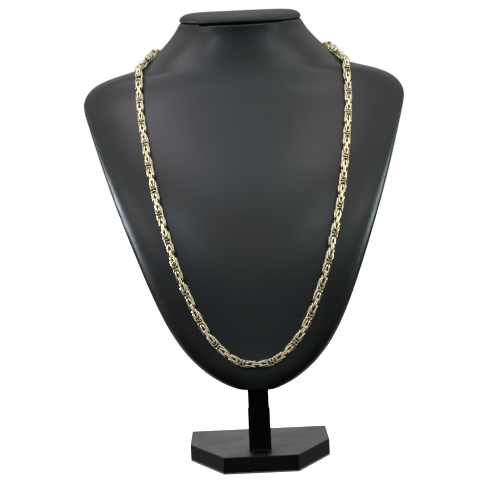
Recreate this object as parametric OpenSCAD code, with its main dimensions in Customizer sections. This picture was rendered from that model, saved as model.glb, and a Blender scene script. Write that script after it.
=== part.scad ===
// Byzantine chain on a leatherette neck bust. The bust leans back over a six-sided base that
// carries it on a post. The object's own width runs along X, its front looks along -Y, and Z
// points up. The origin is the middle of the whole object's footprint, on the surface that it
// stands on.

/* [Chain] */
// Width of the woven chain over its links
chain_w = 5.3; // [4:0.1:6]
// Clearance between the chain's two ends and the clasp
chain_end_gap = 0.3; // [0.1:0.1:1]

/* [Clasp] */
// Length of the clasp's barrel
clasp_l = 15; // [10:0.5:20]
// Diameter of the clasp's barrel
clasp_d = 6.4; // [4:0.2:7]
// Diameter of the barrel's flat ends
clasp_end_d = 3.8; // [3:0.1:3.9]
// Length of the taper at each end of the barrel
clasp_taper = 1.6; // [0.5:0.1:3]
// Diameter of the ring at each end of the clasp, over the middle of its wire
clasp_ring_d = 4.2; // [3:0.1:6]
// Wire of those rings
clasp_ring_wire = 1.4; // [0.8:0.1:2]

/* [Bust] */
// Width across the shoulders
bust_w = 249; // [220:1:280]
// Height from the tip to the widest line of the shoulders
chest_h = 207; // [180:1:230]
// How far the front of the chest leans back between those two heights
chest_reach = 100; // [70:1:110]
// How far the sides of the chest curve back behind its middle
chest_bow = 18.5; // [10:0.5:24]
// Thickness of the chest at the widest line, measured level
chest_t = 37; // [30:1:42]
// Height from the widest line of the shoulders to the seam under the cap
neck_h = 62; // [50:1:70]
// Width of the neck at that seam
neck_w = 95; // [84:1:110]
// Depth of the neck at that seam
neck_d = 68.5; // [60:0.5:76]
// How far the front of the neck stands behind the chest's front at the widest line
neck_reach = 21; // [16:0.5:26]
// How far the sides of the neck stand back behind its middle, at the seam
neck_bow = 10; // [4:0.5:14]
// Forward tilt of the seam and the cap, in degrees
neck_tilt = 7; // [0:1:10]

/* [Neck cap] */
// Thickness of the cap at its middle
cap_t = 7.2; // [6:0.5:12]
// How far the cap's side bulges past the neck
cap_overhang = 0.6; // [0:0.1:2]

/* [Post] */
// Width of the post
post_w = 14.8; // [10:0.2:18]
// Depth of the post
post_d = 8.5; // [6:0.5:12]
// Wall of the sleeve round the foot of the post
sleeve_wall = 0.4; // [0.3:0.1:1.5]
// Height of the sleeve above the base
sleeve_h = 29; // [15:1:36]
// Width of the sleeve's foot tab
foot_w = 11.6; // [8:0.2:16]
// Length of the foot tab in front of the sleeve
foot_l = 13; // [6:0.5:16]
// Thickness of the foot tab
foot_t = 1.2; // [0.8:0.1:3]

/* [Base] */
// Width of the base
base_w = 102; // [90:1:120]
// Depth of the base
base_d = 116; // [105:1:140]
// Width of the base's straight front edge
base_front_w = 53; // [30:1:70]
// Depth of the slanted front corners
base_corner_d = 58; // [30:1:80]
// Thickness of the whole base
base_t = 12; // [9:0.5:18]
// Thickness of the pale sheet under the base
sheet_t = 1; // [0.6:0.1:2]
// Height of the bust's tip above the base
tip_clear = 45; // [40:1:60]
// Distance from the base's front edge to the post
post_setback = 25; // [18:0.5:30]
// Distance from the base's front edge to the front of the bust's tip
tip_setback = 8; // [4:0.5:12]

/* [Hidden] */

// Right half of the chain's route over the bust, from its lowest point to the back of the neck.
// Y is measured from the front of the bust's tip, and Z from the tip's height.
CHAIN_ROUTE = [
    [0, -1, 19], [10.5, -0.5, 20], [21.5, 2.5, 27], [29.5, 5.5, 35], [36.5, 9, 45], [42.5, 13, 57],
    [48.5, 18, 71], [54.5, 23.5, 87], [59.5, 31.5, 105], [64.5, 41, 123], [68.5, 52, 141],
    [72, 64.5, 159], [75, 79, 177], [77.5, 93, 193], [79, 105, 207], [79.5, 114, 219.5],
    [79.5, 119.5, 229.5], [80, 126, 234], [78.5, 134, 236], [76, 142, 239.5], [73.5, 149, 243],
    [71, 156.5, 246], [69, 165.5, 248], [63, 174, 247.5], [55.5, 179.5, 247.5], [48, 181.5, 247],
    [41.5, 183.5, 247.5], [35, 185, 247.5], [28, 185.5, 247.5], [20, 186.5, 247.5], [12, 186.5, 247.5]];
// The bust_w, neck_w, chest_reach, neck_reach, chest_h and neck_h that the route is drawn on.
// Where the bust's own sizes differ from these, the route goes with them.
DRAWN_ON = [249, 95, 100, 21, 207, 62];

// Clearance between pieces that touch on the real object
gap = 0.1;
// Clearance between the post's top and the bust's sloping back, measured upright
post_gap = 0.5;
// Points around a section of the bust, and rings between two rows of its tables
section_points = 48;
ring_steps = 2;
// Roundness of the bust's oval sections at the chest and at the seam, 1 for an ellipse
chest_power = 0.75;
neck_power = 0.95;
// Sides and rings of the chain's tube, and points between two points of its route
chain_sides = 12;
chain_rings = 74;
route_steps = 6;
// Share of the neck above which its sections start to tilt
tilt_start = 0.55;
// Samples along the top of the post where it follows the bust's back
post_samples = 6;
foot_corner_r = 2;

// Chest sections from the tip up: height, half width, reach, bow and thickness,
// as shares of chest_h, bust_w / 2, chest_reach, chest_bow and chest_t
CHEST = [
    [0.000, 0.090, 0.000, 0.00, 0.32],
    [0.019, 0.186, 0.000, 0.11, 0.43],
    [0.063, 0.303, 0.008, 0.24, 0.54],
    [0.135, 0.423, 0.042, 0.41, 0.65],
    [0.246, 0.535, 0.090, 0.65, 0.70],
    [0.415, 0.655, 0.174, 0.89, 0.76],
    [0.589, 0.767, 0.333, 1.00, 0.81],
    [0.763, 0.872, 0.572, 1.00, 0.86],
    [0.932, 0.968, 0.874, 0.95, 0.92],
    [1.000, 1.000, 1.000, 0.92, 1.00]];

// Neck sections from the shoulders up: height as a share of neck_h, half width as a share of the
// way from the neck's to the shoulders', reach as a share of neck_reach, what is left of
// chest_bow as a share, and the share of the neck's own thickness, bow and roundness
NECK = [
    [0.145, 0.962, 0.319, 0.73, 0.09],
    [0.258, 0.865, 0.510, 0.46, 0.24],
    [0.339, 0.706, 0.620, 0.24, 0.37],
    [0.395, 0.540, 0.686, 0.11, 0.50],
    [0.452, 0.420, 0.743, 0.03, 0.63],
    [0.548, 0.315, 0.824, 0.00, 0.78],
    [0.694, 0.190, 0.914, 0.00, 0.90],
    [0.839, 0.083, 0.974, 0.00, 0.98],
    [0.919, 0.038, 0.990, 0.00, 1.00],
    [1.000, 0.000, 1.000, 0.00, 1.00]];

// Cap rings from the seam up: inset as a share of the neck's half depth, height as a share of cap_t
CAP = [[0.030, 0.00], [0.004, 0.07], [0.000, 0.20], [0.012, 0.40], [0.050, 0.60], [0.110, 0.77],
       [0.200, 0.90], [0.340, 0.97], [0.720, 1.00]];

// Shares of bust_w, neck_w, chest_reach and neck_reach at drawn heights above the tip
share_rows = concat(
    [for (s = CHEST) [s[0] * DRAWN_ON[4], s[1], 0, s[2], 0]],
    [for (s = NECK) [DRAWN_ON[4] + s[0] * DRAWN_ON[5], s[1], 1 - s[1], 1, s[2]]]);

function share(z, k) = lookup(z, [for (r = share_rows) [r[0], r[k]]]);

// A drawn point of the route, moved with the bust's own sizes
function on_bust(p) =
    let (z = p[2], w = share(z, 1), n = share(z, 2))
    [p[0] * (w * bust_w + n * neck_w) / (w * DRAWN_ON[0] + n * DRAWN_ON[1]),
     p[1] + share(z, 3) * (chest_reach - DRAWN_ON[2]) + share(z, 4) * (neck_reach - DRAWN_ON[3]),
     z < DRAWN_ON[4] ? z * chest_h / DRAWN_ON[4]
                     : chest_h + (z - DRAWN_ON[4]) * neck_h / DRAWN_ON[5]];

half_route = [for (p = CHAIN_ROUTE) on_bust(p)];

// Places that follow from the sizes, with Y measured from the front of the bust's tip
base_front = -tip_setback;
base_back = base_front + base_d;
tip_z = base_t + tip_clear;
shoulder_z = tip_z + chest_h;
seam_z = shoulder_z + neck_h;
post_front = base_front + post_setback;
seam_y = chest_reach + neck_reach + neck_d / 2;
clasp_end = half_route[len(half_route) - 1];
clasp_y = clasp_end[1] + (clasp_d - chain_w) / 2;
rear_y = max(clasp_y + clasp_d / 2, seam_y + neck_d / 2, base_back);
mid_y = (base_front + rear_y) / 2;

// Rows of the bust's sections: height, half width, front, bow, thickness and roundness
bust_rows = concat(
    [for (s = CHEST) [tip_z + s[0] * chest_h, s[1] * bust_w / 2, s[2] * chest_reach,
                      s[3] * chest_bow, s[4] * chest_t, chest_power]],
    [for (s = NECK) [shoulder_z + s[0] * neck_h, (neck_w + s[1] * (bust_w - neck_w)) / 2,
                     chest_reach + s[2] * neck_reach, s[3] * chest_bow + s[4] * neck_bow,
                     chest_t + s[4] * (neck_d - chest_t),
                     chest_power + s[4] * (neck_power - chest_power)]]);
bust_sections = spline(bust_rows, ring_steps);

// A point between b and c on the curve through a, b, c and d
function curve_point(a, b, c, d, t) =
    (2 * b + (c - a) * t + (2 * a - 5 * b + 4 * c - d) * t * t + (3 * b - a - 3 * c + d) * t * t * t) / 2;

// A smooth curve through the rows of a table, with each stretch cut into steps
function spline(rows, steps) =
    let (last = len(rows) - 1)
    concat(
        [for (i = [0 : last - 1], k = [0 : steps - 1])
            curve_point(rows[max(i - 1, 0)], rows[i], rows[i + 1], rows[min(i + 2, last)], k / steps)],
        [rows[last]]);

function signed_power(v, p) = sign(v) * pow(abs(v), p);

// Points of an oval with half width w, half depth d and a roundness, its sides bent back by bow
function oval(w, d, bow, power) =
    [for (i = [0 : section_points - 1])
        let (a = 360 * i / section_points,
             side = signed_power(cos(a), power))
        [w * side, d * signed_power(sin(a), power) + bow * side * side]];

// Triangles that join rings of n points each, from the first ring to the last, with closed ends
function loft_faces(rings, n) =
    concat(
        [for (r = [0 : rings - 2], i = [0 : n - 1])
            let (a = r * n + i, b = r * n + (i + 1) % n) each [[a, a + n, b + n], [a, b + n, b]]],
        [[for (i = [0 : n - 1]) i]],
        [[for (i = [n - 1 : -1 : 0]) (rings - 1) * n + i]]);

// Share of the cap's tilt at a height on the bust
function tilt_at(z) =
    let (start = shoulder_z + tilt_start * neck_h)
    neck_tilt * min(1, max(0, (z - start) / (seam_z - start)));

// One ring of the bust, tilted about its middle
function bust_ring(s) =
    let (z = s[0], mid = s[2] + s[4] / 2, rise = tan(tilt_at(z)))
    [for (p = oval(s[1], s[4] / 2, s[3], s[5])) [p[0], mid + p[1], z + rise * p[1]]];

// Y of a section's back at a distance from its middle
function back_y(s, x) =
    let (side = min(1, x / s[1]), angle = acos(pow(side, 1 / s[5])))
    s[2] + s[4] / 2 * (1 + pow(sin(angle), s[5])) + s[3] * side * side;

// Height at which the bust's back reaches a given Y, over the whole width of the post
function back_height(y) =
    lookup(y, [for (s = bust_sections) [max(back_y(s, 0), back_y(s, post_w / 2)), s[0]]]);

// The whole route of the chain, from the clasp's one side round the front to its other side
mirrored_route = [for (i = [len(half_route) - 1 : -1 : 1])
    [-half_route[i][0], half_route[i][1], half_route[i][2]]];
whole_route = spline(concat(mirrored_route, half_route), route_steps);

// Running length of a path at each of its points
function running_lengths(path) =
    [for (i = 0, l = 0; i < len(path); i = i + 1,
          l = i < len(path) ? l + norm(path[i] - path[i - 1]) : l) l];

// A point of a path at a running length
function point_at(path, lengths, l) =
    [for (axis = [0 : 2]) lookup(l, [for (i = [0 : len(path) - 1]) [lengths[i], path[i][axis]]])];

function unit(v) = v / norm(v);

// Part of v that is square to the unit vector t
function squared_to(v, t) = unit(v - (v * t) * t);

// A side direction for each tangent, carried along the path without twist
function carried_sides(tangents) =
    [for (i = 0, u = squared_to([0, 0, 1], tangents[0]); i < len(tangents); i = i + 1,
          u = i < len(tangents) ? squared_to(u, tangents[i]) : u) u];

module place() {
    translate([0, -mid_y, 0]) children();
}

// Outline of the base, front edge at the bottom of the drawing
module base_outline() {
    polygon([
        [-base_front_w / 2, base_front], [base_front_w / 2, base_front],
        [base_w / 2, base_front + base_corner_d], [base_w / 2, base_back],
        [-base_w / 2, base_back], [-base_w / 2, base_front + base_corner_d]]);
}

module base_sheet() {
    color("tan") place() linear_extrude(sheet_t) base_outline();
}

module base_plate() {
    color("dimgray") place() translate([0, 0, sheet_t + gap])
        linear_extrude(base_t - sheet_t - gap) base_outline();
}

// The foot tab in front of the sleeve, with its two front corners rounded
module foot_tab() {
    front = post_front - sleeve_wall - gap - foot_l;
    linear_extrude(foot_t) {
        translate([-foot_w / 2, front + foot_corner_r]) square([foot_w, foot_l - foot_corner_r]);
        translate([foot_corner_r - foot_w / 2, front])
            square([foot_w - 2 * foot_corner_r, foot_corner_r]);
        for (side = [-1, 1])
            translate([side * (foot_w / 2 - foot_corner_r), front + foot_corner_r])
                circle(foot_corner_r, $fn = 32);
    }
}

// A rectangular block round the post, grown on every side
module post_block(grow, z, h) {
    translate([-post_w / 2 - grow, post_front - grow, z])
        cube([post_w + 2 * grow, post_d + 2 * grow, h]);
}

module post_sleeve() {
    color("black") place() translate([0, 0, base_t + gap]) {
        difference() {
            post_block(gap + sleeve_wall, 0, sleeve_h);
            post_block(gap, -gap, sleeve_h + 2 * gap);
        }
        foot_tab();
    }
}

// The post, its top cut to follow the bust's back
module post() {
    top = [for (i = [0 : post_samples]) let (y = post_front + post_d * (1 - i / post_samples))
        [y, back_height(y) - post_gap]];
    color("black") place() rotate([90, 0, 90]) translate([0, 0, -post_w / 2]) linear_extrude(post_w)
        polygon(concat([[post_front, base_t + gap], [post_front + post_d, base_t + gap]], top));
}

module bust() {
    color([0.2, 0.2, 0.22]) place() polyhedron(
        points = [for (s = bust_sections) each bust_ring(s)],
        faces = loft_faces(len(bust_sections), section_points), convexity = 4);
}

// The padded cap that closes the neck, in the tilted plane of the seam
module neck_cap() {
    color([0.24, 0.24, 0.26]) place() translate([0, seam_y, seam_z + gap]) rotate([neck_tilt, 0, 0])
        polyhedron(
            points = [for (c = CAP) let (grow = cap_overhang - c[0] * neck_d / 2) each
                [for (p = oval(neck_w / 2 + grow, neck_d / 2 + grow, neck_bow, neck_power))
                    [p[0], p[1], c[1] * cap_t]]],
            faces = loft_faces(len(CAP), section_points), convexity = 2);
}

// The chain as one round bar along its route, with clear ends at the clasp
module chain() {
    lengths = running_lengths(whole_route);
    start = max(0, clasp_l / 2 + clasp_ring_d + chain_end_gap - clasp_end[0]);
    total = lengths[len(lengths) - 1] - 2 * start;
    stations = [for (i = [0 : chain_rings - 1]) start + total * i / (chain_rings - 1)];
    centres = [for (l = stations) point_at(whole_route, lengths, l)];
    last = chain_rings - 1;
    tangents = [for (i = [0 : last]) unit(centres[min(i + 1, last)] - centres[max(i - 1, 0)])];
    sides = carried_sides(tangents);
    color("gold") place() translate([0, 0, tip_z]) polyhedron(
        points = [for (i = [0 : last], k = [0 : chain_sides - 1])
            let (a = 360 * k / chain_sides, u = sides[i], v = cross(tangents[i], u))
            centres[i] + chain_w / 2 * (cos(a) * u + sin(a) * v)],
        faces = loft_faces(chain_rings, chain_sides), convexity = 10);
}

// A plain barrel clasp with a ring at each end, the ring's near side sunk into the barrel
module clasp() {
    color("goldenrod") place() translate([0, clasp_y, tip_z + clasp_end[2]]) {
        rotate([0, 90, 0]) translate([0, 0, -clasp_l / 2]) rotate_extrude($fn = 48)
            polygon([[0, 0], [clasp_end_d / 2, 0], [clasp_d / 2, clasp_taper],
                     [clasp_d / 2, clasp_l - clasp_taper], [clasp_end_d / 2, clasp_l], [0, clasp_l]]);
        for (side = [-1, 1])
            translate([side * (clasp_l + clasp_ring_d - clasp_ring_wire) / 2, 0, 0])
                rotate([90, 0, 0]) rotate_extrude($fn = 32) translate([clasp_ring_d / 2, 0])
                    circle(clasp_ring_wire / 2, $fn = 20);
    }
}

base_sheet();
base_plate();
post_sleeve();
post();
bust();
neck_cap();
chain();
clasp();
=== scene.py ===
# Byzantine chain on a leatherette neck bust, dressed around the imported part.
import bpy
import math
import random
from mathutils import Matrix, Vector
from mathutils.bvhtree import BVHTree


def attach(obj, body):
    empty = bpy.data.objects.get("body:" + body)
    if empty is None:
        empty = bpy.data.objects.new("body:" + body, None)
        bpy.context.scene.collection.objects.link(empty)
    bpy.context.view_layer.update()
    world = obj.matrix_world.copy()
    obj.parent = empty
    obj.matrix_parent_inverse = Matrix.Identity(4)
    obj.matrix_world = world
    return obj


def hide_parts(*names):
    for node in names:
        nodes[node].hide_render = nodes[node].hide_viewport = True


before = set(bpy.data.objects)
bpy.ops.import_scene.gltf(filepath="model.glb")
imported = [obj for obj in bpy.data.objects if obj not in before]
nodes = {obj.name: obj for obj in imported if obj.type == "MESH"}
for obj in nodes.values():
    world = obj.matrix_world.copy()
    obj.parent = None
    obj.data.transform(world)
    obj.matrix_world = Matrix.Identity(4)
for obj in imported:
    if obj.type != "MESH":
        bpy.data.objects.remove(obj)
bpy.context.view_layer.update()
scene = bpy.context.scene
mm = 0.001
random.seed(11)
print("frame loaded:", ", ".join(sorted(nodes)))

# The camera stands where the photographer stood, with the picture leaning a little
cameraPlan = {
    "place": Vector((-7.9, -1309.0, 238.2)) * mm,
    "pitch": math.radians(3.5),     # looks slightly down
    "roll": math.radians(2.6),      # so that the object leans to the left in the picture
    "lens": 130.8, "sensor": 36,
    "clip": (0.05, 50),
}


def makeCamera(plan):
    data = bpy.data.cameras.new("camera")
    data.sensor_width, data.lens = plan["sensor"], plan["lens"]
    data.clip_start, data.clip_end = plan["clip"]
    camera = bpy.data.objects.new("camera", data)
    scene.collection.objects.link(camera)
    forward = Vector((0, math.cos(plan["pitch"]), -math.sin(plan["pitch"])))
    right = Vector((1, 0, 0))
    up = right.cross(forward)
    turn, lean = math.cos(plan["roll"]), math.sin(plan["roll"])
    axes = Matrix((right * turn - up * lean, right * lean + up * turn, -forward))
    camera.matrix_world = Matrix.Translation(plan["place"]) @ axes.transposed().to_4x4()
    scene.camera = camera


makeCamera(cameraPlan)
print("camera placed")


def pick(*pieces):
    bpy.ops.object.select_all(action="DESELECT")
    for piece in pieces:
        piece.select_set(True)
    bpy.context.view_layer.objects.active = pieces[0]


def applyModifiers(piece):
    pick(piece)
    for modifier in list(piece.modifiers):
        bpy.ops.object.modifier_apply(modifier=modifier.name)


# a copy of a CAD solid with its triangles merged, and faces within an angle in degrees made whole again
def copyOfNode(node, name, flatAngle):
    mesh = nodes[node].data.copy()
    mesh.materials.clear()
    piece = bpy.data.objects.new(name, mesh)
    scene.collection.objects.link(piece)
    pick(piece)
    bpy.ops.mesh.customdata_custom_splitnormals_clear()
    bpy.ops.object.mode_set(mode="EDIT")
    bpy.ops.mesh.select_all(action="SELECT")
    bpy.ops.mesh.remove_doubles(threshold=0.002 * mm)
    bpy.ops.mesh.dissolve_limited(angle_limit=math.radians(flatAngle))
    bpy.ops.object.mode_set(mode="OBJECT")
    return piece


# selects the faces that pass a test, and stays in edit mode
def editFaces(piece, test):
    pick(piece)
    bpy.ops.object.mode_set(mode="EDIT")
    bpy.ops.mesh.select_mode(type="FACE")
    bpy.ops.mesh.select_all(action="DESELECT")
    bpy.ops.object.mode_set(mode="OBJECT")
    for face in piece.data.polygons:
        face.select = test(face)
    bpy.ops.object.mode_set(mode="EDIT")


def rideAndReplace(piece, node):
    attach(piece, "root")
    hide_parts(node)


def newMaterial(name):
    material = bpy.data.materials.new(name)
    material.use_nodes = True
    shader = material.node_tree.nodes["Principled BSDF"]
    place = material.node_tree.nodes.new("ShaderNodeTexCoord")
    return material, shader, place


def wire(material, source, output, target, socket):
    material.node_tree.links.new(source.outputs[output], target.inputs[socket])


# noise on the piece's own coordinates, with its cells for each metre and its levels of detail
def noise(material, place, scale, detail):
    node = material.node_tree.nodes.new("ShaderNodeTexNoise")
    node.inputs["Scale"].default_value, node.inputs["Detail"].default_value = scale, detail
    wire(material, place, "Object", node, "Vector")
    return node


# spreads a texture's middle values over a range
def spread(material, source, output, low, high, fromLow=0.3, fromHigh=0.7):
    node = material.node_tree.nodes.new("ShaderNodeMapRange")
    for name, value in (("From Min", fromLow), ("From Max", fromHigh), ("To Min", low), ("To Max", high)):
        node.inputs[name].default_value = value
    wire(material, source, output, node, "Value")
    return node


def bump(material, source, output, strength, distance, below=None):
    node = material.node_tree.nodes.new("ShaderNodeBump")
    node.inputs["Strength"].default_value = strength
    node.inputs["Distance"].default_value = distance
    wire(material, source, output, node, "Height")
    if below:
        wire(material, below, "Normal", node, "Normal")
    return node


def twoColours(material, factor, first, second):
    node = material.node_tree.nodes.new("ShaderNodeMix")
    node.data_type = "RGBA"
    node.inputs[6].default_value = (*first, 1)
    node.inputs[7].default_value = (*second, 1)
    wire(material, factor, 0, node, 0)
    return node


# two colours that run into each other as a noise goes
def mottle(material, source, first, second):
    return twoColours(material, spread(material, source, "Fac", 0, 1), first, second)


# Each noise is its cells for each metre and its levels of detail
leatherPlan = {
    "colour": (0.0045, 0.0048, 0.0055), "dusty": (0.0065, 0.0068, 0.0075),
    "roughness": (0.29, 0.35), "gloss": 0.5,
    "dust": (22, 4), "patches": (60, 3),
    "waves": (14, 1), "sag": 0.5 * mm, "sagStrength": 0.25,
    "pebbleScale": 950, "pebbleEdge": 0.35, "domeReach": 0.75,
    "pebbleDepth": 0.10 * mm, "pebbleStrength": 0.28,
    "stray": (760, 1), "wander": 0.0007,        # how far the pebbles stray from even cells, in metres
    "pores": (3600, 2), "poreDepth": 0.05 * mm, "poreStrength": 0.14,
}


def makeLeather(name, plan):
    material, shader, place = newMaterial(name)
    dust = noise(material, place, *plan["dust"])
    wire(material, mottle(material, dust, plan["colour"], plan["dusty"]), 2, shader, "Base Color")
    patches = noise(material, place, *plan["patches"])
    wire(material, spread(material, patches, "Fac", *plan["roughness"]), 0, shader, "Roughness")
    waves = noise(material, place, *plan["waves"])
    soft = bump(material, waves, "Fac", plan["sagStrength"], plan["sag"])
    stray = noise(material, place, *plan["stray"])
    moved = material.node_tree.nodes.new("ShaderNodeVectorMath")
    moved.operation = "MULTIPLY_ADD"
    moved.inputs[1].default_value = [plan["wander"]] * 3
    wire(material, stray, "Color", moved, 0)
    wire(material, place, "Object", moved, 2)
    cells = material.node_tree.nodes.new("ShaderNodeTexVoronoi")
    cells.feature = "SMOOTH_F1"
    cells.inputs["Scale"].default_value = plan["pebbleScale"]
    cells.inputs["Smoothness"].default_value = plan["pebbleEdge"]
    wire(material, moved, "Vector", cells, "Vector")
    domes = spread(material, cells, "Distance", 1, 0, 0, plan["domeReach"])
    pebbles = bump(material, domes, 0, plan["pebbleStrength"], plan["pebbleDepth"], soft)
    pores = noise(material, place, *plan["pores"])
    pitted = bump(material, pores, "Fac", plan["poreStrength"], plan["poreDepth"], pebbles)
    wire(material, pitted, "Normal", shader, "Normal")
    shader.inputs["Specular IOR Level"].default_value = plan["gloss"]
    return material


leather = makeLeather("leatherette", leatherPlan)
dullLeather = makeLeather("leatherette_stretched", leatherPlan | {      # pulled tight over the cap
    "colour": (0.011, 0.012, 0.0105), "dusty": (0.017, 0.018, 0.0155), "roughness": (0.50, 0.58)})
print("leatherette ready")

bustPlan = {
    "flatAngle": 0.01, "quadAngles": (40, 60),      # degrees
    "topNormal": 0.96, "topReach": 6 * mm,          # what counts as the neck's flat top
    "rim": 1.3 * mm, "rimSegments": 3,              # rounding of the top's edge under the cap
    "levels": 2,
}
capPlan = {"flatAngle": 0.01, "quadAngles": (40, 60), "levels": 2, "fill": 0.95}


# a copy of a curved solid, with its triangles paired into quads
def quadsOfNode(node, name, plan):
    piece = copyOfNode(node, name, plan["flatAngle"])
    bend, skew = (math.radians(angle) for angle in plan["quadAngles"])
    editFaces(piece, lambda face: True)
    bpy.ops.mesh.tris_convert_to_quads(face_threshold=bend, shape_threshold=skew)
    bpy.ops.object.mode_set(mode="OBJECT")
    return piece


# joins the neck's flat top into one face, and rounds its edge
def roundTop(bust, plan):
    top = max(v.co.z for v in bust.data.vertices)
    editFaces(bust, lambda face: face.normal.z > plan["topNormal"] and top - face.center.z < plan["topReach"])
    bpy.ops.mesh.dissolve_faces()
    bpy.ops.mesh.region_to_loop()
    bpy.ops.mesh.bevel(offset=plan["rim"], segments=plan["rimSegments"], affect="EDGES")
    bpy.ops.object.mode_set(mode="OBJECT")


def smoothAndCover(piece, levels, material, node):
    smooth = piece.modifiers.new("smooth", "SUBSURF")
    smooth.levels = smooth.render_levels = levels
    applyModifiers(piece)
    bpy.ops.object.shade_smooth()
    piece.data.materials.append(material)
    rideAndReplace(piece, node)
    print("made", piece.name, "with", len(piece.data.polygons), "faces")


def makeBust(plan):
    bust = quadsOfNode("bust", "bust_cover", plan)
    roundTop(bust, plan)
    smoothAndCover(bust, plan["levels"], leather, "bust")


def makeCap(plan):
    cap = quadsOfNode("neck_cap", "cap_cover", plan)
    smoothAndCover(cap, plan["levels"], dullLeather, "neck_cap")


makeBust(bustPlan)
makeCap(capPlan)

paintPlan = {
    "post_black": {
        "colour": (0.0008, 0.0008, 0.001), "worn": (0.002, 0.002, 0.0023), "wear": (45, 6),
        "roughness": (0.55, 0.66), "gloss": 0.08,
        "peel": (900, 2), "peelDepth": 0.03 * mm, "peelStrength": 0.3},
    "base_black": {
        "colour": (0.006, 0.006, 0.0065), "worn": (0.010, 0.010, 0.0105), "wear": (45, 6),
        "roughness": (0.38, 0.48), "gloss": 0.14,
        "peel": (1400, 2), "peelDepth": 0.04 * mm, "peelStrength": 0.3},
}
standPlan = {     # node, new piece, slot, finish, width of the bevel
    "post": ("post_painted", "post_paint", "post_black", 0.5 * mm),
    "post_sleeve": ("sleeve_painted", "post_paint", "post_black", 0.12 * mm),
    "base_plate": ("base_board", "base_paint", "base_black", 0.6 * mm),
}
edgePlan = {"flatAngle": 1, "segments": 3, "bevelFrom": 30, "smoothTo": 40}      # angles in degrees


def makePaint(name, plan):
    material, shader, place = newMaterial(name)
    wear = noise(material, place, *plan["wear"])
    wire(material, mottle(material, wear, plan["colour"], plan["worn"]), 2, shader, "Base Color")
    wire(material, spread(material, wear, "Fac", *plan["roughness"]), 0, shader, "Roughness")
    peel = noise(material, place, *plan["peel"])
    uneven = bump(material, peel, "Fac", plan["peelStrength"], plan["peelDepth"])
    wire(material, uneven, "Normal", shader, "Normal")
    shader.inputs["Specular IOR Level"].default_value = plan["gloss"]
    return material


def makeStandPieces(plan):
    paints = {name: makePaint(name, values) for name, values in paintPlan.items()}
    for node, (name, slot, paint, width) in standPlan.items():
        piece = copyOfNode(node, name, plan["flatAngle"])
        edges = piece.modifiers.new("edges", "BEVEL")
        edges.width, edges.segments, edges.limit_method = width, plan["segments"], "ANGLE"
        edges.angle_limit = math.radians(plan["bevelFrom"])
        even = piece.modifiers.new("even", "WEIGHTED_NORMAL")     # keeps the flat faces flat
        even.keep_sharp = True
        pick(piece)
        bpy.ops.object.shade_smooth_by_angle(angle=math.radians(plan["smoothTo"]))
        applyModifiers(piece)
        piece.data.materials.append(paints[paint])
        rideAndReplace(piece, node)
        print("made", name)


makeStandPieces(edgePlan)

boardPlan = {
    "colour": (0.36, 0.31, 0.19), "dark": (0.20, 0.17, 0.10), "roughness": (0.6, 0.8),
    "fibres": (700, 6), "fuzz": 0.1 * mm, "fuzzStrength": 0.4,
}


# the pale sheet under the base stays the CAD's own solid
def dressBoard(plan):
    material, shader, place = newMaterial("bare_board")
    fibres = noise(material, place, *plan["fibres"])
    wire(material, mottle(material, fibres, plan["colour"], plan["dark"]), 2, shader, "Base Color")
    wire(material, spread(material, fibres, "Fac", *plan["roughness"]), 0, shader, "Roughness")
    fuzzy = bump(material, fibres, "Fac", plan["fuzzStrength"], plan["fuzz"])
    wire(material, fuzzy, "Normal", shader, "Normal")
    sheet = nodes["base_sheet"]
    sheet.data.materials.clear()
    sheet.data.materials.append(material)


dressBoard(boardPlan)
print("board edge dressed")

goldPlan = {
    "colour": (1.0, 0.90, 0.70), "deep": (0.97, 0.81, 0.47), "cloud": (260, 3),
    # painted shade: the inner side of each link is painted dark brown, standing in for the shade in the
    # weave's recesses
    "innerShade": (0.30, 0.16, 0.06), "fullInnerShade": 0.7,       # on the inner side of the links
    "roughness": (0.04, 0.10), "smears": (900, 4),
    "scratches": (5200, 2), "scratch": 0.02 * mm, "scratchStrength": 0.15,
}


def makeGold(name, plan):
    material, shader, place = newMaterial(name)
    shader.inputs["Metallic"].default_value = 1
    bright = mottle(material, noise(material, place, *plan["cloud"]), plan["colour"], plan["deep"])
    # where the wire faces the link's hole it takes the dark brown of the painted shade
    inner = material.node_tree.nodes.new("ShaderNodeAttribute")
    inner.attribute_name = "innerSide"
    inside = spread(material, inner, "Fac", 0, 1, 0, plan["fullInnerShade"])
    shadedInside = twoColours(material, inside, plan["colour"], plan["innerShade"])
    wire(material, bright, 2, shadedInside, 6)
    wire(material, shadedInside, 2, shader, "Base Color")
    smears = noise(material, place, *plan["smears"])
    wire(material, spread(material, smears, "Fac", *plan["roughness"]), 0, shader, "Roughness")
    scratches = noise(material, place, *plan["scratches"])
    scratched = bump(material, scratches, "Fac", plan["scratchStrength"], plan["scratch"])
    wire(material, scratched, "Normal", shader, "Normal")
    return material


gold = makeGold("polished_gold", goldPlan)
nodes["clasp"].data.materials.clear()
nodes["clasp"].data.materials.append(gold)
print("gold ready, and the clasp dressed")

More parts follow.
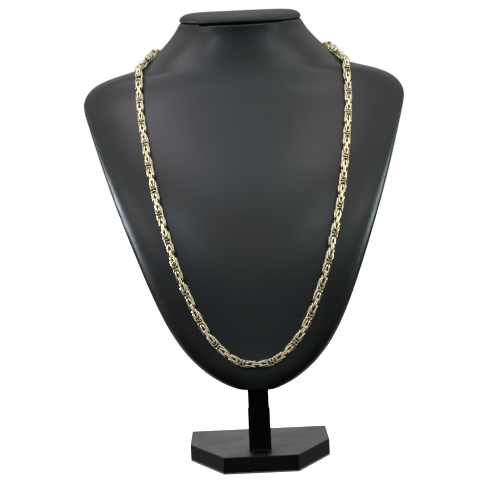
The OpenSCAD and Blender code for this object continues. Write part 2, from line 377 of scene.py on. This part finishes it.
# Right half of the route, with Y from the front of the bust's tip and Z from its height, as in the source
chainRoute = [
    (0, -1, 19), (10.5, -0.5, 20), (21.5, 2.5, 27), (29.5, 5.5, 35), (36.5, 9, 45), (42.5, 13, 57),
    (48.5, 18, 71), (54.5, 23.5, 87), (59.5, 31.5, 105), (64.5, 41, 123), (68.5, 52, 141),
    (72, 64.5, 159), (75, 79, 177), (77.5, 93, 193), (79, 105, 207), (79.5, 114, 219.5),
    (79.5, 119.5, 229.5), (80, 126, 234), (78.5, 134, 236), (76, 142, 239.5), (73.5, 149, 243),
    (71, 156.5, 246), (69, 165.5, 248), (63, 174, 247.5), (55.5, 179.5, 247.5), (48, 181.5, 247),
    (41.5, 183.5, 247.5), (35, 185, 247.5), (28, 185.5, 247.5), (20, 186.5, 247.5), (12, 186.5, 247.5)]
chainPlan = {
    "tip": Vector((0, -91.125, 57)) * mm,     # the tip's front, in the row's frame
    "steps": 24,                              # between two points of the route
    "knots": 72,                              # a knot is three pairs of links
    "endReach": 1.583 * mm,                   # from the route's end to the link in the clasp's ring
    "rest": 2.9 * mm, "settle": 1.0 * mm,     # middle line over the bust, and the most it sinks to that
    "wire": 1.03 * mm, "long": 3.915 * mm, "wide": 2.06 * mm,  # wire, and half axes of its middle line
    "squareness": 1.28,                       # how far the link's corners fill out, 1 for an oval
    "quarterSteps": 6, "wireRounding": 1,     # 24 steps round a link, and six sides to its wire
    "jitter": (0.03 * mm, math.radians(1.6)),
    "tangentReach": 2.5 * mm,                 # the chain's direction is taken over twice this length
    "evenOver": 6, "evenStep": 2 * mm,        # so many steps each way, for an even outward direction
}
# a knot's pairs, from its connector back: shift along the chain, side or height, and slant
knotPairs = [
    {"along": 0.0, "side": 0.575, "slant": 0.0, "folded": False},
    {"along": -4.702, "side": 1.327, "slant": 0.1965, "folded": False},
    {"along": -5.943, "side": 1.151, "slant": -0.150, "folded": True},
]


def smoothRoute(points, steps):
    last = len(points) - 1
    path = []
    for i in range(last):
        a, b, c, d = points[max(i - 1, 0)], points[i], points[i + 1], points[min(i + 2, last)]
        for k in range(steps):
            t = k / steps
            path.append((2 * b + (c - a) * t + (2 * a - 5 * b + 4 * c - d) * t ** 2
                         + (3 * b - a - 3 * c + d) * t ** 3) / 2)
    return path + [points[last]]


# the route with its running length, the direction away from the bust and the room to it at each point
def measureRoute(plan):
    right = [Vector(p) * mm + plan["tip"] for p in chainRoute]
    left = [Vector((-p.x, p.y, p.z)) for p in reversed(right[1:])]
    path = smoothRoute(left + right, plan["steps"])
    bust = nodes["bust"].data
    surface = BVHTree.FromPolygons([v.co for v in bust.vertices], [face.vertices for face in bust.polygons])
    over = [p - surface.find_nearest(p)[0] for p in path]
    away = [v.normalized() for v in over]
    slack = [min(max(v.length - plan["rest"], 0), plan["settle"]) for v in over]
    lengths = [0.0]
    for a, b in zip(path, path[1:]):
        lengths.append(lengths[-1] + (b - a).length)
    return path, lengths, away, slack


def makeLink(plan):
    bpy.ops.object.select_all(action="DESELECT")
    bpy.ops.curve.primitive_bezier_circle_add(radius=plan["wide"])
    link = bpy.context.object
    bpy.ops.object.mode_set(mode="EDIT")
    bpy.ops.curve.select_all(action="SELECT")
    bpy.ops.transform.resize(value=(plan["long"] / plan["wide"], 1, 1))
    bpy.ops.object.mode_set(mode="OBJECT")
    for point in link.data.splines[0].bezier_points:
        point.handle_left_type = point.handle_right_type = "FREE"
        middle = point.co.copy()
        for side in ("handle_left", "handle_right"):
            setattr(point, side, middle + (getattr(point, side) - middle) * plan["squareness"])
    link.data.resolution_u = plan["quarterSteps"]
    link.data.bevel_depth, link.data.bevel_resolution = plan["wire"] / 2, plan["wireRounding"]
    bpy.ops.object.convert(target="MESH")
    bpy.ops.object.shade_smooth()
    link = bpy.context.object
    inner = link.data.attributes.new("innerSide", "FLOAT", "POINT")    # 1 where the wire faces the hole
    for vertex in link.data.vertices:
        out = Vector((vertex.co.x / plan["long"] ** 2, vertex.co.y / plan["wide"] ** 2, 0)).normalized()
        inner.data[vertex.index].value = max(0, -out.dot(vertex.normal))
    return link


def makeChain(plan):
    path, lengths, away, slack = measureRoute(plan)
    total = lengths[-1]
    reach = plan["tangentReach"]

    def pointAt(s):
        s = min(max(s, 0), total)
        low, high = 0, len(lengths) - 1
        while high - low > 1:
            middle = (low + high) // 2
            low, high = (middle, high) if lengths[middle] <= s else (low, middle)
        share = (s - lengths[low]) / (lengths[high] - lengths[low])
        return (path[low].lerp(path[high], share), away[low].lerp(away[high], share),
                slack[low] + (slack[high] - slack[low]) * share)

    # place, and tangent, side and outward directions, at a running length
    def frameAt(s):
        endwards = (pointAt(total)[0] - pointAt(total - reach)[0]) / reach
        place = pointAt(s)[0] + (s - min(max(s, 0), total)) * endwards      # straight on past the route's end
        along = (pointAt(s + reach)[0] - pointAt(s - reach)[0]).normalized()
        near = [pointAt(s + k * plan["evenStep"]) for k in range(-plan["evenOver"], plan["evenOver"] + 1)]
        outward = sum((p[1] for p in near), Vector())
        outward = (outward - outward.dot(along) * along).normalized()
        sink = sum(p[2] for p in near) / len(near)
        return place - sink * outward, along, outward.cross(along), outward

    link = makeLink(plan)
    pitch = (total - 2 * plan["endReach"]) / plan["knots"]
    copies = []
    shift, tilt = plan["jitter"]
    for knot in range(plan["knots"] + 1):
        roll = Matrix.Rotation(math.radians(90) * ((knot - plan["knots"] // 2) % 4), 3, "X")
        for pair in knotPairs if knot else knotPairs[:1]:
            place, along, side, outward = frameAt(plan["endReach"] + knot * pitch + pair["along"] * mm)
            axes = Matrix((along, side, outward)).transposed() @ roll
            for sign in (1, -1):
                slant = sign * pair["slant"] + random.uniform(-tilt, tilt)
                sway = Matrix.Rotation(random.uniform(-tilt, tilt), 3, "X")
                offset = sign * pair["side"] * mm + random.uniform(-shift, shift)
                if pair["folded"]:
                    turn = Matrix.Rotation(-slant, 3, "Y")
                    spot = Vector((0, 0, offset))
                else:
                    turn = Matrix.Rotation(slant, 3, "Z") @ Matrix.Rotation(math.radians(90), 3, "X")
                    spot = Vector((0, offset, 0))
                copy = link.copy()
                copy.data = link.data.copy()
                scene.collection.objects.link(copy)
                copy.data.transform(Matrix.Translation(place + axes @ spot) @ (axes @ turn @ sway).to_4x4())
                copies.append(copy)
    bpy.data.objects.remove(link)
    pick(*copies)
    bpy.ops.object.join()
    chain = bpy.context.object
    chain.name = "chain_links"
    chain.data.materials.clear()
    chain.data.materials.append(gold)
    rideAndReplace(chain, "chain")
    print("chain made:", len(copies), "links,", round(pitch / mm, 3), "mm to a knot,",
          len(chain.data.polygons), "faces")


makeChain(chainPlan)

# Soft lights round the bust: azimuth from the front, elevation, distance, size, power and colour
lightPlan = {
    "box_left": (-60, 62, 0.5, 0.2, 0.078, (1.0, 1.0, 0.9)),
    "box_right": (60, 62, 0.5, 0.2, 0.148, (1.0, 0.95, 0.9)),
    "box_inner_left": (-25, 60, 0.5, 0.2, 0.07, (0.64, 0.75, 1.0)),
    "box_inner_right": (25, 60, 0.5, 0.2, 0.055, (0.55, 0.86, 1.0)),
    "box_high_left": (-45, 72, 0.5, 0.3, 0.10, (0.54, 0.56, 1.0)),
    "box_side": (-90, 62, 0.5, 0.2, 0.2, (0.94, 0.86, 1.0)),
    "box_back": (180, 70, 0.5, 0.2, 0.21, (0.5, 0.82, 1.0)),
    "low_back": (180, -10, 0.6, 0.3, 0.2, (1.0, 0.97, 1.0)),
    "lamp_left": (-40, 40, 1.5, 0.3, 1.08, (0.72, 0.78, 1.0)),
    "lamp_right": (40, 40, 1.5, 0.3, 0.82, (0.76, 0.9, 1.0)),
    "low_left": (-68, 25, 1.5, 0.4, 0.86, (1.0, 0.86, 0.91)),
    "low_right": (68, 25, 1.5, 0.4, 0.74, (1.0, 0.95, 0.81)),
    "side_left": (-100, 5, 1.5, 0.4, 8.8, (0.86, 0.93, 1.0)),
    "side_right": (100, 5, 1.5, 0.4, 4.64, (0.82, 1.0, 0.89)),
}
stagePlan = {
    "lightTarget": Vector((0, 0, 0.25)),
    "floorSize": 8.0, "floorDrop": 0.05 * mm,
    "floorColour": (0.9, 0.9, 0.9), "floorRoughness": 0.9, "floorGlow": 0.85,
    # what the pieces mirror of the room, from the floor up, with colour and strength
    "below": ((1, 1, 1), 0.01), "floorBehind": ((1, 1, 1), 0.9),
    "lowWalls": ((1.0, 0.67, 0.38), 0.136), "highWalls": ((0.61, 0.87, 1.0), 0.58),
    "ceiling": ((0.96, 1.0, 0.95), 0.85), "backdrop": ((1, 1, 1), 0.35),
    # where one runs into the next, along an axis of the direction looked in
    "wallRise": ("Z", 0, 0.45), "backdropEdge": ("Y", 0, 0.4), "ceilingEdge": ("Z", 0.35, 0.65),
    "floorFall": ("Z", -0.2, -0.45), "floorEdge": ("Y", 0, 0.3), "horizon": ("Z", -0.05, 0.05),
}


def makeLight(name, azimuth, elevation, distance, size, power, colour):
    data = bpy.data.lights.new(name, "AREA")
    data.shape = "DISK"
    data.size, data.energy, data.color = size, power, colour
    light = bpy.data.objects.new(name, data)
    scene.collection.objects.link(light)
    turn, lift = math.radians(azimuth), math.radians(elevation)
    toLight = Vector((math.sin(turn) * math.cos(lift), -math.cos(turn) * math.cos(lift), math.sin(lift)))
    light.location = stagePlan["lightTarget"] + toLight * distance
    light.rotation_euler = toLight.to_track_quat("Z", "Y").to_euler()
    light.visible_camera = False


def makeFloor(plan):
    bpy.ops.object.select_all(action="DESELECT")
    bpy.ops.mesh.primitive_plane_add(size=plan["floorSize"], location=(0, 0, -plan["floorDrop"]))
    floor = bpy.context.object
    floor.name = "floor"
    material, shader, place = newMaterial("pale_floor")
    shader.inputs["Base Color"].default_value = (*plan["floorColour"], 1)
    shader.inputs["Roughness"].default_value = plan["floorRoughness"]
    shader.inputs["Emission Color"].default_value = (1, 1, 1, 1)
    shader.inputs["Emission Strength"].default_value = plan["floorGlow"]
    floor.data.materials.append(material)
    floor.visible_diffuse = floor.visible_glossy = False     # the room below takes its place there


# white behind the object, and a light box in its reflections that is dark below and bright above
def makeRoom(plan):
    world = bpy.data.worlds.new("studio")
    world.use_nodes = True
    scene.world = world
    tree = world.node_tree
    direction = tree.nodes.new("ShaderNodeTexCoord")
    split = tree.nodes.new("ShaderNodeSeparateXYZ")
    tree.links.new(direction.outputs["Generated"], split.inputs[0])

    def glow(colour, strength):
        node = tree.nodes.new("ShaderNodeBackground")
        node.inputs["Color"].default_value = (*colour, 1)
        node.inputs["Strength"].default_value = strength
        return node

    def mixed(factor, first, second):
        node = tree.nodes.new("ShaderNodeMixShader")
        tree.links.new(factor, node.inputs[0])
        tree.links.new(first.outputs[0], node.inputs[1])
        tree.links.new(second.outputs[0], node.inputs[2])
        return node

    def past(axis, low, high):
        node = tree.nodes.new("ShaderNodeMapRange")
        node.inputs["From Min"].default_value, node.inputs["From Max"].default_value = low, high
        tree.links.new(split.outputs[axis], node.inputs["Value"])
        return node.outputs[0]

    front = mixed(past(*plan["wallRise"]), glow(*plan["lowWalls"]), glow(*plan["highWalls"]))
    walls = mixed(past(*plan["backdropEdge"]), front, glow(*plan["backdrop"]))
    upper = mixed(past(*plan["ceilingEdge"]), walls, glow(*plan["ceiling"]))
    behind = mixed(past(*plan["floorFall"]), glow(*plan["below"]), glow(*plan["floorBehind"]))
    lower = mixed(past(*plan["floorEdge"]), glow(*plan["below"]), behind)
    room = mixed(past(*plan["horizon"]), lower, upper)
    rays = tree.nodes.new("ShaderNodeLightPath")
    whole = mixed(rays.outputs["Is Camera Ray"], room, glow((1, 1, 1), 1))
    tree.links.new(whole.outputs[0], tree.nodes["World Output"].inputs["Surface"])
    scene.view_settings.view_transform = "Standard"


for name, values in lightPlan.items():
    makeLight(name, *values)
makeFloor(stagePlan)
makeRoom(stagePlan)
print("stage and lights ready")
